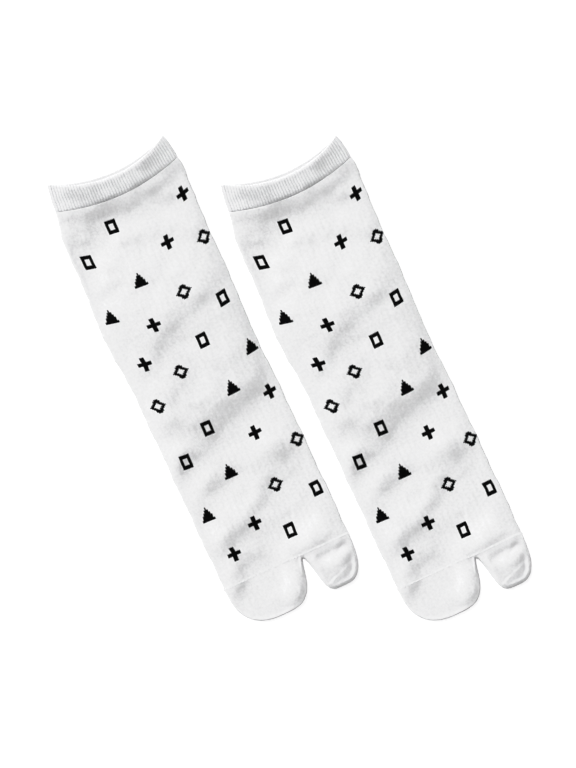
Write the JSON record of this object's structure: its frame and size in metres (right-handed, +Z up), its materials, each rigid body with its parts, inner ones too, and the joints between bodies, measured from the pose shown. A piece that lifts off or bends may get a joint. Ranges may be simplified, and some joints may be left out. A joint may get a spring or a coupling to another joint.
{
  "type": "pair of tabi socks",
  "caption": "White knitted split-toe socks laid flat side by side, instep up, with ribbed cuffs, small dark motifs and a separate big-toe pocket.",
  "frame": {"origin": "middle of the pair's footprint, on the surface that the socks lie on", "axes": "+X across the socks, towards their big-toe pockets; +Y along the socks, from the toes to the cuffs; +Z up from the surface, out of the insteps"},
  "size_m": [0.1974, 0.366, 0.0074],
  "materials": {
    "cuff_knit": "elastic rib knit, matt",
    "leg_knit": "fine jersey knit with small black knitted-in motifs, matt",
    "heel_knit": "fine jersey knit, plain white, matt",
    "toe_knit": "fine jersey knit, plain white, matt"
  },
  "bodies": {
    "root": {"left_cuff": "cuff_knit", "left_leg_and_foot": "leg_knit", "left_heel": "heel_knit", "left_toes": "toe_knit", "right_cuff": "cuff_knit", "right_leg_and_foot": "leg_knit", "right_heel": "heel_knit", "right_toes": "toe_knit"}
  },
  "joints": []
}
